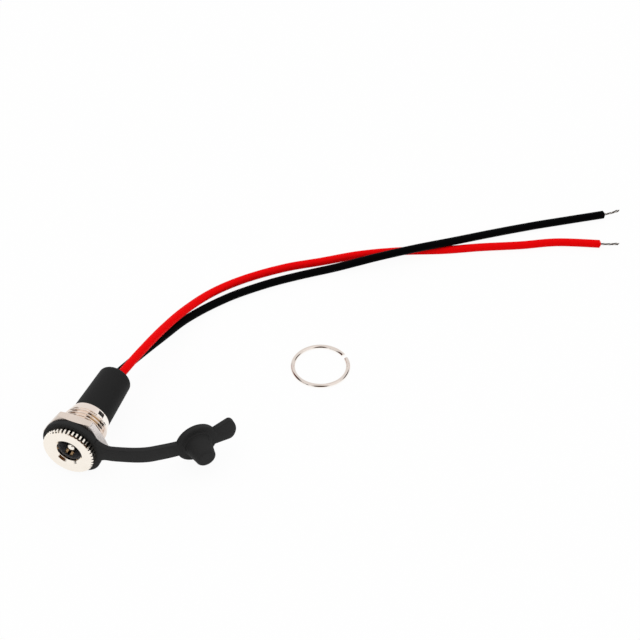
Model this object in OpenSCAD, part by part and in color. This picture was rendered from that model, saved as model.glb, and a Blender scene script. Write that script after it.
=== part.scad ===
// Panel jack for a 5.5 mm direct-current plug, with a tethered rubber cap, a hex nut and two soldered leads.
// The jack lies on its side. Its axis runs along +Y from the mouth to the leads, and +Z is up.
// The plane y = 0 is the rear face of the flange, the side that faces the panel.

/* [Flange] */
// Diameter over the knurled rim
flange_d = 14; // [13:0.1:15.2]
// Thickness of the flange
flange_t = 2; // [1.6:0.1:4]
// Number of teeth round the rim
knurl_teeth = 40; // [24:1:60]
// Depth of the grooves between the teeth
knurl_depth = 0.45; // [0.1:0.05:0.6]
// Share of each tooth's pitch taken by its flat top
knurl_top = 0.4; // [0.2:0.02:0.5]
// Share of the pitch taken by the floor of a groove
knurl_floor = 0.1; // [0.06:0.02:0.45]
// Bevel on the front edge of the rim
rim_bevel = 0.3; // [0.2:0.05:0.8]
// Diameter of the hole in the metal face
mouth_d = 6.6; // [6:0.1:7]
// Width of the bevel round that hole
mouth_bevel = 0.7; // [0.2:0.05:0.8]
// Depth of that bevel
mouth_bevel_t = 0.65; // [0.2:0.05:1]

/* [Barrel] */
// Outside diameter of the thread
thread_d = 12; // [11.4:0.1:13]
// Length of the thread behind the flange
thread_len = 8; // [7.5:0.1:16]
// Length of the tapered end behind the thread
lead_out = 3; // [0.4:0.1:4]
// Diameter where the tapered end stops
lead_out_d = 10.5; // [10.4:0.1:11.2]
// Diameter of the neck that the boot grips
neck_d = 9.3; // [9.1:0.1:9.6]
// Length of the neck
neck_len = 3.5; // [2:0.1:6]
// Bore of the metal barrel
barrel_bore_d = 8.5; // [8.2:0.1:8.8]
// Radial room round the lining
lining_play = 0.02; // [0:0.01:0.05]
// Depth of the metal face in front of the lining
face_t = 1.4; // [1:0.1:1.6]
// Width of the key notch through the tapered end
notch_w = 1.8; // [0.6:0.1:3]
// Length of the key notch
notch_len = 1.4; // [0.5:0.1:3]
// Angle of the key notch, from the right towards the top
notch_at = 44; // [0:1:90]
// Width of the rim that is left behind the key notch
notch_rim = 0.35; // [0.2:0.05:1]

/* [Socket] */
// Bore of the lining, for the sleeve of the plug
socket_d = 6.1; // [5.8:0.1:6.3]
// Depth of the socket behind the metal face
socket_depth = 10.5; // [9.5:0.1:12]
// Diameter of the centre pin
pin_d = 2; // [1.6:0.05:2.5]
// How far the tip stands back behind the metal face
pin_back = 1.6; // [0.5:0.1:3]
// Rounding of the tip
pin_round = 0.35; // [0.2:0.05:0.8]
// Diameter of the shank in the lining
shank_d = 1.5; // [1.2:0.1:1.6]
// Diameter of the riveted head
rivet_d = 2.2; // [1.8:0.1:2.4]
// Thickness of the riveted head
rivet_t = 0.4; // [0.2:0.1:0.8]

/* [Contacts] */
// Angle of the leaf contact, from the right towards the top
spring_at = -110; // [-130:1:-90]
// Width of the leaf contact
spring_w = 2; // [1.2:0.1:2.6]
// Thickness of the leaf contact
spring_t = 0.3; // [0.2:0.05:0.4]
// How far its tip stays behind the front of the lining
leaf_front = 0.7; // [0.5:0.1:1.5]
// Length from the tip to the crest that presses on the plug
crest_len = 0.8; // [0.5:0.1:1.5]
// How far the crest stands into the socket
crest_rise = 0.5; // [0.2:0.05:0.6]
// Length of the slope behind the crest
slope_len = 2; // [1:0.1:3]
// Width of the slit between its two prongs
slit_w = 0.8; // [0.4:0.1:1]
// Length of that slit
slit_len = 5; // [3:0.1:7]
// Straight length of its tail before the bend towards the lead
tail_straight = 0.8; // [0.5:0.1:1]
// Length of that bend
tail_bend = 1.6; // [1:0.1:2]
// Room at each side of the leaf in its groove
leaf_play = 0.1; // [0.05:0.01:0.2]
// Diameter of the solder tag's eye
tag_eye_d = 3.8; // [3.2:0.1:4.6]
// Width of the tag
tag_w = 2.2; // [1.6:0.1:3]
// Thickness of the tag
tag_t = 0.5; // [0.3:0.1:0.6]
// Length of the tag behind the lining
tag_len = 4.5; // [3.5:0.1:6]
// Diameter of the solder on each lead
solder_d = 2; // [1.4:0.1:2.4]
// Thickness of the film of solder between lead and tag
solder_film = 0.06; // [0.02:0.01:0.1]
// Bare length of each tag beyond the solder
tag_spare = 0.3; // [0.1:0.1:0.6]
// How far each core runs forward of the solder
core_spare = 0.5; // [0:0.1:0.6]
// Length of the solder on each lead
solder_len = 2; // [1:0.1:2.4]

/* [Nut] */
// Width across the flats
nut_af = 15.5; // [14:0.1:16]
// Thickness of the nut
nut_t = 2.55; // [1.8:0.05:4]
// Turn of the nut as it lies
nut_turn = 57; // [0:1:59]
// Radial clearance between nut and thread
nut_clear = 0.05; // [0.02:0.01:0.1]
// Gap between nut and sealing ring
nut_gap = 0.05; // [0.02:0.01:0.5]
// Width of the bevel at the middle of each flat
nut_land = 0.1; // [0.05:0.05:0.3]
// Height of the bevel on the corners of the nut
nut_bevel = 0.45; // [0.2:0.05:0.8]

/* [Boot] */
// Diameter of the boot at its front
boot_front_d = 10.2; // [10:0.1:10.4]
// Diameter of the boot at its rear
boot_rear_d = 9; // [8.6:0.1:9.4]
// Length of the boot behind the neck
boot_tail = 11.9; // [10.5:0.1:16]
// Rounding at the rear of the boot
boot_round = 1.2; // [0.3:0.1:1.6]
// Thickness of the boot's wall over the tags
boot_wall = 0.6; // [0.4:0.1:0.8]
// Thickness of the boot's rear wall
boot_end = 2; // [1.2:0.1:3]

/* [Cap] */
// Diameter of the sealing ring
seal_d = 16; // [15.3:0.1:18]
// Thickness of the sealing ring and of the strap
seal_t = 1.6; // [1:0.1:2]
// Height of the strap
strap_h = 3.9; // [2.5:0.1:5]
// How far the middle of the strap's root lies above the axis
root_rise = 0.8; // [-1:0.1:1.5]
// Radius of the strap's bend, seen from above
strap_bend = 16.7; // [15:0.1:20]
// Angle through which the strap bends
strap_turn = 48; // [40:1:50]
// How far inside the edge of the sealing ring the bend starts
strap_from = 0.6; // [0.2:0.1:0.8]
// Straight length between the bend and the cap's centre
strap_straight = 11.8; // [10:0.1:14]
// Fillet above the root of the strap
root_over = 6; // [1:0.1:8]
// Fillet below the root of the strap
root_under = 2.5; // [0.6:0.1:3]
// Diameter of the cap's disc
cap_d = 11; // [9:0.1:12.5]
// Thickness of the disc
cap_t = 1.6; // [1.2:0.1:2.5]
// Edge rounding of the disc
cap_round = 0.3; // [0.1:0.05:0.5]
// Diameter of the plug at its root
plug_root_d = 7.2; // [5.8:0.1:7.6]
// Diameter of the plug at its end
plug_end_d = 5.4; // [4:0.1:5.6]
// Length of the plug
plug_len = 5.8; // [4:0.1:8]
// Rounding of the plug's end
plug_round = 0.9; // [0.3:0.1:1.5]
// Radius of the pull tab's end
tab_r = 2.8; // [2:0.05:3.5]
// Distance of that end from the cap's centre
tab_reach = 8.4; // [7:0.1:12]
// Height of that end above the cap's centre
tab_lift = 0.75; // [0:0.05:2]
// Taper of the tab's upper edge
tab_taper = 14; // [5:1:20]

/* [Leads] */
// Diameter of a lead over its jacket
wire_d = 2.2; // [1.6:0.05:2.4]
// Diameter of the bare strands
core_d = 0.8; // [0.5:0.05:1.2]
// Length of the bare ends
bare_len = 4.9; // [2:0.1:8]
// Room under a lead where it crosses over the other
cross_gap = 0.15; // [0.05:0.05:1]
// How far each jacket reaches into the boot
jacket_in = 5; // [3:0.1:5.5]
// How far each lead stands off the axis inside the boot, sideways
lead_side = 1.1; // [1:0.05:1.2]
// How far each lead stands off the axis inside the boot, upwards or downwards
lead_up = 0.8; // [0.75:0.05:1]

/* [Lock ring] */
// Diameter of the loose split ring
ring_d = 16; // [14:0.1:18]
// Width of its band
ring_w = 1.15; // [0.8:0.05:1.6]
// Height of its band
ring_h = 0.9; // [0.6:0.05:1.4]
// Edge rounding of the band
ring_round = 0.3; // [0.1:0.05:0.35]
// Width of the split
ring_split = 1.5; // [0.5:0.1:3]
// Angle at which the split lies
ring_split_at = 49; // [0:1:90]
// Place of the ring's centre to the right of the axis
ring_x = 45.5; // [40:0.1:60]
// Place of the ring's centre behind the flange
ring_y = 56.8; // [45:0.1:70]

/* [Hidden] */
$fn = 96;
eps = 0.01;
// How far a rounding runs into the face that it meets, so that the two cross and don't only touch
blend = 0.02;
// How far a cut runs past the face that it opens
past = 1;

flange_r = flange_d / 2;
thread_r = thread_d / 2;
face_y = -flange_t;
thread_end = thread_len + lead_out;
shell_end = thread_end + neck_len;
lining_y = face_y + face_t;
socket_end = face_y + socket_depth;
seal_r = seal_d / 2;
nut_corner_r = nut_af / 2 / cos(30);
// The jack lies on its sealing ring, or on the lowest corner of the nut where that reaches further down
nut_lean = (270 - nut_turn) % 60;
floor_z = -max(seal_r, nut_corner_r * cos(min(nut_lean, 60 - nut_lean)));
nut_y = seal_t + nut_gap;
boot_len = neck_len + boot_tail;
boot_end_y = thread_end + boot_len;
core_y = boot_end_y - jacket_in;
solder_y = shell_end + tag_len - tag_spare - solder_len;
// Line of the leaf contact in the rear of the lining, as a distance from the axis
leaf_r = (socket_d + barrel_bore_d) / 4 + spring_t / 3;
crest_r = socket_d / 2 + spring_t / 2 - crest_rise;
// Place of the red lead in the boot, seen along the axis; the black lead lies opposite
lead_off = [lead_side, 0, lead_up];
// The black core seen along the leaf's own direction
core_out = -lead_side * cos(spring_at) - lead_up * sin(spring_at);
tail_r = core_out + core_d / 2 + solder_film + spring_t / 2;
tag_z = lead_up + core_d / 2 + solder_film;

// Start and end of the strap's bend seen from above, and the middle of the cap's disc
bend_start = [seal_r - strap_from, seal_t / 2];
bend_end = bend_start + strap_bend * [sin(strap_turn), 1 - cos(strap_turn)];
cap_at = bend_end + strap_straight * [cos(strap_turn), sin(strap_turn)];
cap_z = floor_z + cap_d / 2;
// Start and height of the strap's root, and where it begins to sink to the cap's height
strap_root = (thread_r + seal_r) / 2;
strap_z = root_rise;
sag_from = seal_r + strap_h;
sag_steps = 12;

// Middle height of a lead that lies on the table, and of one that crosses over another
lie = floor_z + wire_d / 2;
over = lie + wire_d + cross_gap;
// Route of each lead behind the boot, measured from the middle of the boot's rear face
red_route = [[1.3, 3.6, 0.75], [2, 11.6, 0], [3, 22.1, -1.5], [4.7, 33.1, -3.4], [8, 44.1, -5.3],
             [13.5, 53.7, -6.65], [22, 62.25, lie], [31, 68.7, lie], [40, 75.25, lie], [50, 80.75, lie],
             [61.5, 85.75, lie], [71, 90.7, lie], [81.5, 95.7, lie], [91, 100.75, lie], [103, 104.6, lie]];
black_route = [[-0.5, 4.1, -1.25], [1, 11.6, -2.25], [3, 21.6, -4], [5.5, 33.1, -6.1], [11, 43.75, lie],
               [18.5, 52.75, lie], [26.5, 60.25, lie], [36, 67.75, lie + 0.25], [45.5, 74.75, over - 1],
               [55, 81.25, over], [64, 88.75, over - 0.5], [72, 96.75, lie + 0.5], [80.5, 103.75, lie],
               [90.5, 110.75, lie], [100, 117.25, lie]];
wire_sides = 8;
rings_per_span = 2;

// Point on a smooth curve through the points p, at the fraction t of span i
function curve(p, i, t) =
    let (a = p[max(i - 1, 0)], b = p[i], c = p[i + 1], d = p[min(i + 2, len(p) - 1)])
    0.5 * (2 * b + (c - a) * t + (2 * a - 5 * b + 4 * c - d) * t * t + (3 * b - a - 3 * c + d) * t * t * t);
function path(p) =
    concat([for (i = [0 : len(p) - 2]) for (k = [0 : rings_per_span - 1]) curve(p, i, k / rings_per_span)],
           [p[len(p) - 1]]);
// The whole way of a lead, straight through the boot on its side (1 or -1) of the axis, then along its route
function lead_path(route, side) =
    path(concat([side * lead_off + [0, core_y, 0], side * lead_off + [0, boot_end_y + wire_d / 4, 0]],
                [for (p = route) p + [0, boot_end_y, 0]]));
function unit(v) = v / norm(v);
function square_to(v) = [-v[1], v[0]];
// Point i of the flat line p moved sideways by h, so that a strip between two such lines keeps its thickness
function mitre(p, i, h) =
    let (a = unit(p[max(i, 1)] - p[max(i, 1) - 1]),
         b = unit(p[min(i + 1, len(p) - 1)] - p[min(i, len(p) - 2)]))
    p[i] + h * (square_to(a) + square_to(b)) / (1 + a * b);
function heading(q, i) = unit(q[min(i + 1, len(q) - 1)] - q[max(i - 1, 0)]);
// One ring of points round the curve q at its point i
function tube_ring(q, i, r) =
    let (t = heading(q, i), s = unit(cross(t, [0, 0, 1])), u = cross(s, t))
    [for (k = [0 : wire_sides - 1]) let (a = (k + 0.5) * 360 / wire_sides)
     q[i] + r * (cos(a) * s + sin(a) * u)];
function quad_split(i, k) =
    let (a = i * wire_sides + k, b = i * wire_sides + (k + 1) % wire_sides)
    [[a, b, b + wire_sides], [a, b + wire_sides, a + wire_sides]];

// Point of the strap's middle line, in front view, at the fraction t of that stretch
function sag(t) =
    [sag_from + t * (cap_at[0] - sag_from), strap_z + (cap_z - strap_z) * (1 - cos(180 * t)) / 2];

// Turns what is drawn along +Z so that it lies along the jack's axis
module along_axis(y = 0) {
    translate([0, y, 0])
        rotate([-90, 0, 0])
            children();
}

// Turns what is drawn upwards from the axis to the angle a, from the right towards the top
module at_angle(a) {
    rotate([0, 90 - a, 0])
        children();
}

// Flat strip of thickness t along a line of points
module strip(p, t) {
    n = len(p) - 1;
    polygon(concat([for (i = [0 : n]) mitre(p, i, t / 2)], [for (i = [n : -1 : 0]) mitre(p, i, -t / 2)]));
}

// Half profile of a turned disc with rounded edges
module rounded_half(r, t, f) {
    square([r - f, t]);
    translate([0, f])
        square([r, t - 2 * f]);
    for (z = [f, t - f])
        translate([r - f, z])
            circle(f);
}

// Half profile of a tapered post with a rounded end
module rounded_post(r1, r2, h, f) {
    polygon([[0, 0], [r1, 0], [r2, h - f], [0, h - f]]);
    translate([0, h - f - eps])
        square([r2 - f, f + eps]);
    translate([r2 - f, h - f])
        circle(f);
}

// Outline of the knurled rim
module knurl() {
    pitch = 360 / knurl_teeth;
    root = flange_r - knurl_depth;
    tooth = [[knurl_floor / 2, root], [0.5 - knurl_top / 2, flange_r],
             [0.5 + knurl_top / 2, flange_r], [1 - knurl_floor / 2, root]];
    polygon([for (i = [0 : knurl_teeth - 1]) for (p = tooth)
             p[1] * [cos((i + p[0]) * pitch), sin((i + p[0]) * pitch)]]);
}

module flange() {
    along_axis(face_y)
        intersection() {
            linear_extrude(flange_t)
                knurl();
            rotate_extrude()
                polygon([[0, 0], [flange_r - rim_bevel, 0], [flange_r, rim_bevel],
                         [flange_r, flange_t], [0, flange_t]]);
        }
}

// Half profile of the bevelled hole in the metal face
module mouth_profile() {
    r = mouth_d / 2;
    polygon([[0, -past], [r + mouth_bevel, -past], [r + mouth_bevel, 0], [r, mouth_bevel_t],
             [r, face_t + past], [0, face_t + past]]);
}

module threaded_shell() {
    color([0.86, 0.83, 0.78])
        difference() {
            union() {
                flange();
                along_axis(-eps)
                    cylinder(r = thread_r, h = thread_len + eps);
                along_axis(thread_len)
                    cylinder(r1 = thread_r, r2 = lead_out_d / 2, h = lead_out);
                along_axis(thread_end - eps)
                    cylinder(d = neck_d, h = neck_len + eps);
            }
            along_axis(face_y)
                rotate_extrude()
                    mouth_profile();
            along_axis(lining_y)
                cylinder(d = barrel_bore_d, h = shell_end - lining_y + past);
            at_angle(notch_at)
                translate([-notch_w / 2, thread_end - notch_rim - notch_len, 0])
                    cube([notch_w, notch_len, thread_d]);
        }
}

module insulator() {
    groove_w = spring_w + 2 * leaf_play;
    color([0.08, 0.08, 0.09])
        difference() {
            along_axis(lining_y)
                cylinder(d = barrel_bore_d - 2 * lining_play, h = shell_end - lining_y);
            along_axis(lining_y - past)
                cylinder(d = socket_d, h = socket_end - lining_y + past);
            along_axis(socket_end - past)
                cylinder(d = shank_d, h = shell_end);
            at_angle(spring_at) {
                translate([-groove_w / 2, lining_y + leaf_front / 2, socket_d / 4])
                    cube([groove_w, socket_end - lining_y - leaf_front / 2, barrel_bore_d]);
                translate([-spring_w / 2, socket_end - past, leaf_r - spring_t / 2])
                    cube([spring_w, shell_end, spring_t]);
            }
        }
}

module centre_pin() {
    tip_y = face_y + pin_back;
    pin_r = pin_d / 2;
    color([0.9, 0.88, 0.84]) {
        along_axis(tip_y)
            rotate_extrude() {
                square([pin_r - pin_round, pin_round + eps]);
                translate([pin_r - pin_round, pin_round])
                    intersection() {
                        circle(pin_round);
                        translate([0, -pin_round])
                            square([pin_round, pin_round + eps]);
                    }
                translate([0, pin_round])
                    square([pin_r, socket_end - tip_y - pin_round]);
            }
        along_axis(socket_end - eps)
            cylinder(d = shank_d, h = shell_end + tag_t - socket_end + 2 * eps);
        along_axis(shell_end + tag_t)
            cylinder(d1 = rivet_d, d2 = shank_d, h = rivet_t);
    }
}

module pin_tag() {
    color([0.83, 0.8, 0.72])
        difference() {
            union() {
                along_axis(shell_end)
                    cylinder(d = tag_eye_d, h = tag_t);
                translate([lead_side - tag_w / 2, shell_end, tag_z])
                    cube([tag_w, tag_len, tag_t]);
            }
            along_axis(shell_end - past)
                cylinder(d = shank_d, h = tag_t + 2 * past);
        }
}

// Side view of the leaf contact, with distance from the axis over length along it
module leaf_profile() {
    tip_y = lining_y + leaf_front;
    bend_y = shell_end + tail_straight;
    strip([[tip_y, leaf_r], [tip_y + crest_len, crest_r], [tip_y + crest_len + slope_len, leaf_r],
           [bend_y, leaf_r], [bend_y + tail_bend, tail_r], [shell_end + tag_len, tail_r]], spring_t);
}

module sleeve_spring() {
    color([0.8, 0.6, 0.35])
        at_angle(spring_at)
            difference() {
                translate([-spring_w / 2, 0, 0])
                    rotate([90, 0, 90])
                        linear_extrude(spring_w)
                            leaf_profile();
                translate([-slit_w / 2, lining_y, 0])
                    cube([slit_w, leaf_front + slit_len, barrel_bore_d]);
            }
}

// Stripped near end of a lead, on its side (1 or -1) of the axis
module lead_core(side) {
    color([0.8, 0.78, 0.75])
        translate(side * lead_off)
            along_axis(solder_y - core_spare)
                cylinder(d = core_d, h = core_y - solder_y + core_spare);
}

module red_core() {
    lead_core(1);
}

module black_core() {
    lead_core(-1);
}

// Solder round the core of a lead, before it is cut flush with its tag
module solder_sleeve(side) {
    translate(side * lead_off)
        along_axis(solder_y)
            difference() {
                cylinder(d = solder_d, h = solder_len);
                translate([0, 0, -past])
                    cylinder(d = core_d, h = solder_len + 2 * past);
            }
}

module pin_solder() {
    color([0.72, 0.72, 0.74])
        difference() {
            solder_sleeve(1);
            translate([lead_side - solder_d, solder_y - past, tag_z])
                cube([2 * solder_d, solder_len + 2 * past, solder_d]);
        }
}

module sleeve_solder() {
    color([0.72, 0.72, 0.74])
        difference() {
            solder_sleeve(-1);
            at_angle(spring_at)
                translate([-2 * solder_d, solder_y - past, tail_r - spring_t / 2])
                    cube([4 * solder_d, solder_len + 2 * past, solder_d]);
        }
}

module hex_nut() {
    flat_r = nut_af / 2 - nut_land;
    color([0.85, 0.82, 0.77])
        along_axis(nut_y)
            difference() {
                rotate([0, 0, -nut_turn])
                    intersection() {
                        cylinder(r = nut_corner_r, h = nut_t, $fn = 6);
                        rotate_extrude()
                            polygon([[0, 0], [flat_r, 0], [nut_corner_r, nut_bevel],
                                     [nut_corner_r, nut_t - nut_bevel], [flat_r, nut_t], [0, nut_t]]);
                    }
                translate([0, 0, -past])
                    cylinder(r = thread_r + nut_clear, h = nut_t + 2 * past);
            }
}

// Front view of the strap with the fillets at its root
module strap_front() {
    strip(concat([[strap_root, strap_z]], [for (i = [0 : sag_steps]) sag(i / sag_steps)]), strap_h);
    root_fillet(root_over, 1);
    root_fillet(root_under, -1);
}

// Fillet of radius f between the sealing ring and the strap, above (1) or below (-1)
module root_fillet(f, side) {
    edge = side * strap_z + strap_h / 2;
    rise = edge + f - blend;
    centre = [sqrt(pow(seal_r + f - blend, 2) - pow(rise, 2)), rise];
    foot = edge - seal_t / 3;
    mirror([0, side < 0 ? 1 : 0])
        difference() {
            polygon([[strap_root, foot], [strap_root, rise * strap_root / centre[0]],
                     centre, [centre[0], foot]]);
            translate(centre)
                circle(f);
        }
}

// Strap seen from above
module strap_plan() {
    translate(bend_start + [0, strap_bend])
        difference() {
            circle(strap_bend + seal_t / 2);
            circle(strap_bend - seal_t / 2);
            translate([-2 * strap_bend, -2 * strap_bend])
                square([2 * strap_bend, 4 * strap_bend]);
            rotate(strap_turn)
                translate([0, -2 * strap_bend])
                    square([3 * strap_bend, 5 * strap_bend]);
        }
    translate(bend_end)
        rotate(strap_turn)
            translate([-eps, -seal_t / 2])
                square([strap_straight + eps, seal_t]);
}

// Outline of the pull tab in the plane of the disc
module tab_outline() {
    end = [tab_reach, tab_lift];
    inner_r = tab_r - blend;
    touch = end + inner_r * [-sin(tab_taper), cos(tab_taper)];
    polygon([[0, tab_lift - inner_r], [tab_reach, tab_lift - inner_r], end, touch,
             [0, touch[1] - touch[0] * tan(tab_taper)]]);
    translate(end)
        circle(tab_r);
}

module cap_plug() {
    rotate_extrude()
        rounded_post(plug_root_d / 2, plug_end_d / 2, plug_len, plug_round);
}

module dust_cap() {
    color([0.17, 0.17, 0.17]) {
        along_axis()
            difference() {
                cylinder(r = seal_r, h = seal_t);
                translate([0, 0, -past])
                    cylinder(r = thread_r, h = seal_t + 2 * past);
            }
        intersection() {
            translate([0, 0, -seal_d])
                linear_extrude(2 * seal_d)
                    strap_plan();
            translate([0, 2 * strap_bend, 0])
                rotate([90, 0, 0])
                    linear_extrude(3 * strap_bend)
                        strap_front();
        }
        translate([cap_at[0], cap_at[1], cap_z])
            rotate([0, 0, strap_turn]) {
                translate([0, cap_t / 2, 0])
                    rotate([90, 0, 0]) {
                        rotate_extrude()
                            rounded_half(cap_d / 2, cap_t, cap_round);
                        translate([0, 0, cap_t - eps])
                            cap_plug();
                    }
                translate([0, seal_t / 2, 0])
                    rotate([90, 0, 0])
                        linear_extrude(seal_t)
                            tab_outline();
            }
    }
}

module shrink_boot() {
    front_r = boot_front_d / 2;
    tilt = (front_r - boot_rear_d / 2) / (boot_len - boot_round);
    inner_end = boot_len - boot_end;
    color([0.17, 0.17, 0.17])
        difference() {
            along_axis(thread_end)
                rotate_extrude()
                    rounded_post(front_r, boot_rear_d / 2, boot_len, boot_round);
            along_axis(thread_end - past)
                cylinder(d = neck_d, h = neck_len + past);
            along_axis(shell_end - eps)
                cylinder(r1 = front_r - neck_len * tilt - boot_wall,
                         r2 = front_r - inner_end * tilt - boot_wall, h = inner_end - neck_len + eps);
            for (s = [-1, 1])
                translate(s * lead_off)
                    along_axis(shell_end)
                        cylinder(d = wire_d, h = boot_len);
        }
}

// A lead in its jacket, swept along the points q
module lead(q) {
    n = len(q);
    polyhedron(points = [for (i = [0 : n - 1]) for (p = tube_ring(q, i, wire_d / 2)) p],
               faces = concat([[for (k = [0 : wire_sides - 1]) k]],
                              [for (i = [0 : n - 2]) for (k = [0 : wire_sides - 1])
                               for (f = quad_split(i, k)) [f[2], f[1], f[0]]],
                              [[for (k = [wire_sides - 1 : -1 : 0]) (n - 1) * wire_sides + k]]));
}

module red_wire() {
    color([0.85, 0.05, 0.05])
        lead(lead_path(red_route, 1));
}

module black_wire() {
    color([0.04, 0.04, 0.05])
        lead(lead_path(black_route, -1));
}

// The stripped strands that carry on from the end of the points q
module bare_end(q) {
    t = heading(q, len(q) - 1);
    translate(q[len(q) - 1])
        rotate([0, acos(t[2]), atan2(t[1], t[0])])
            cylinder(d = core_d, h = bare_len);
}

module red_bare_end() {
    color([0.8, 0.78, 0.75])
        bare_end(lead_path(red_route, 1));
}

module black_bare_end() {
    color([0.8, 0.78, 0.75])
        bare_end(lead_path(black_route, -1));
}

module lock_ring() {
    color([0.85, 0.83, 0.8])
        translate([ring_x, ring_y, floor_z])
            difference() {
                rotate_extrude()
                    translate([ring_d / 2 - ring_w, 0]) {
                        translate([ring_round, 0])
                            square([ring_w - 2 * ring_round, ring_h]);
                        translate([0, ring_round])
                            square([ring_w, ring_h - 2 * ring_round]);
                        for (x = [ring_round, ring_w - ring_round])
                            for (z = [ring_round, ring_h - ring_round])
                                translate([x, z])
                                    circle(ring_round);
                    }
                rotate([0, 0, ring_split_at])
                    translate([0, -ring_split / 2, -past])
                        cube([ring_d, ring_split, ring_h + 2 * past]);
            }
}

threaded_shell();
insulator();
centre_pin();
pin_tag();
sleeve_spring();
hex_nut();
dust_cap();
shrink_boot();
red_core();
black_core();
pin_solder();
sleeve_solder();
red_wire();
black_wire();
red_bare_end();
black_bare_end();
lock_ring();
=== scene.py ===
# %% [markdown]
# # A panel jack for a direct-current plug
# The frame holds the jack as plain solids at their real size. This lesson gives each of them its
# finish: a plated shell with a knurled rim and a thread, a hex nut, a moulded rubber cap on its
# strap, a boot and two leads with stripped ends. Every surface is worked out with numpy as a grid
# of points and then handed to Blender.

import bpy
import numpy as np
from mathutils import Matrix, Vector


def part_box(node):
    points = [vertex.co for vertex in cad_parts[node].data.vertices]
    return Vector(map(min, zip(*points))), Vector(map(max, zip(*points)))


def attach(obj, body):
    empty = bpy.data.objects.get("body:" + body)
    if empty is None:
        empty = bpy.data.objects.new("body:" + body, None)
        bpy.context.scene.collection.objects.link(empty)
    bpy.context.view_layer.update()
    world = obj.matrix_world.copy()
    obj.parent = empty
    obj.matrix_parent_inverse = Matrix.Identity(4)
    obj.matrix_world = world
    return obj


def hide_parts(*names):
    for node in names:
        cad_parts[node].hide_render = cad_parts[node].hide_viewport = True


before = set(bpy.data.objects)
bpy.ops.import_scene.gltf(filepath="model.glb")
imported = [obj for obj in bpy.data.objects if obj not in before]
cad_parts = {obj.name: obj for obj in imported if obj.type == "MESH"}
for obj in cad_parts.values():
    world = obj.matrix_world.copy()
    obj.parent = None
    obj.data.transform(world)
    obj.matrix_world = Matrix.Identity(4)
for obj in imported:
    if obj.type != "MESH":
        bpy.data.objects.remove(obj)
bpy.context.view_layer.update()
MM = 0.001

# %% [markdown]
# ## The camera
# The jack was photographed from the front right and well above, from far away, so that the leads
# hardly taper with distance. A long lens from a little over half a metre gives the same flat
# perspective. The camera is aimed by turning its own -Z axis towards a point on the table.

# %% Place the camera
camera_at = Vector((182.18, -296.30, 372.80)) * MM
camera_aim = Vector((38.93, 73.41, -7.65)) * MM
lens_mm, sensor_mm = 112.5, 36


def put(name, data, place=(0, 0, 0), aim=None):
    """Shows data as an object at a place in metres. If it has an aim, its -Z axis points there."""
    shown = bpy.data.objects.new(name, data)
    shown.location = place
    if aim is not None:
        heading = Vector(aim) - Vector(place)
        shown.rotation_euler = heading.to_track_quat("-Z", "Y").to_euler()
    bpy.context.scene.collection.objects.link(shown)
    return shown


camera_data = bpy.data.cameras.new("camera")
camera_data.lens = lens_mm
camera_data.sensor_width = sensor_mm
bpy.context.scene.camera = put("camera", camera_data, camera_at, camera_aim)
print("camera distance in mm:", round((camera_aim - camera_at).length / MM))

# %% [markdown]
# ## From a grid of points to a mesh
# A tube, a turned part and a bent strap are all the same thing to a computer: a grid of points,
# where one direction runs along the part and the other runs round it. Blender could spin or
# extrude each shape with its own operator, but one grid function serves them all, and every point
# is known by formula.

# %% Turn grids into closed meshes
WELD = 1e-8


def grid_quads(rows, columns, wrap_rows):
    """Corner numbers of a grid's quads. Point (i, j) has the number i * columns + j, and a quad
    joins (i, j), (i, j + 1), (i + 1, j + 1) and (i + 1, j). The last column joins the first, and
    where rows wrap the last row does too."""
    i = np.arange(rows if wrap_rows else rows - 1)[:, None]
    j = np.arange(columns)[None, :]
    i2, j2 = (i + 1) % rows, (j + 1) % columns
    corners = [i * columns + j, i * columns + j2, i2 * columns + j2, i2 * columns + j]
    return np.stack(corners, axis=-1).reshape(-1, 4)


def closed_shell(points, wrap_rows=False):
    """Welded points and faces of a grid whose columns run round. Points closer than WELD become
    one, which closes the poles. The volume inside is the sum of a . (b x c) / 6 over triangles:
    if it is negative the faces turn."""
    rows, columns, _ = points.shape
    flat = points.reshape(-1, 3)
    cells = np.round(flat / WELD)
    _, first, number = np.unique(cells, axis=0, return_index=True, return_inverse=True)
    corners = flat[first]
    quads = number.reshape(-1)[grid_quads(rows, columns, wrap_rows)]
    a, b, c, d = (corners[quads[:, k]] for k in range(4))
    if np.sum(a * np.cross(b, c) + a * np.cross(c, d)) < 0:
        quads = quads[:, ::-1]
    return corners, quads


def show_mesh(name, mesh, sharp_deg=35):
    """Shades a mesh smooth, marks its sharp edges and shows it as an object at the origin."""
    mesh.polygons.foreach_set("use_smooth", np.ones(len(mesh.polygons), bool))
    mesh.set_sharp_from_angle(angle=np.radians(sharp_deg))
    print(name, "has", len(mesh.loops) - 2 * len(mesh.polygons), "triangles")
    return put(name, mesh)


def make_piece(name, *shells, sharp_deg=35):
    """One object from closed shells. A corner that repeats the one before it is left out, so a
    quad at a pole becomes a triangle. An edge that turns more than sharp_deg stays sharp."""
    starts = np.cumsum([0] + [len(corners) for corners, _ in shells])
    corners = np.concatenate([corners for corners, _ in shells])
    quads = np.concatenate([quads + start for (_, quads), start in zip(shells, starts)])
    kept = quads != np.roll(quads, 1, axis=1)
    solid = kept.sum(axis=1) > 2
    quads, kept = quads[solid], kept[solid]
    loops, sizes = quads[kept], kept.sum(axis=1)
    mesh = bpy.data.meshes.new(name)
    mesh.vertices.add(len(corners))
    mesh.vertices.foreach_set("co", corners.astype(np.float32).ravel())
    mesh.loops.add(len(loops))
    mesh.loops.foreach_set("vertex_index", loops.astype(np.int32))
    mesh.polygons.add(len(sizes))
    mesh.polygons.foreach_set("loop_start", (np.cumsum(sizes) - sizes).astype(np.int32))
    mesh.update(calc_edges=True)
    mesh.validate()
    return show_mesh(name, mesh, sharp_deg)


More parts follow.
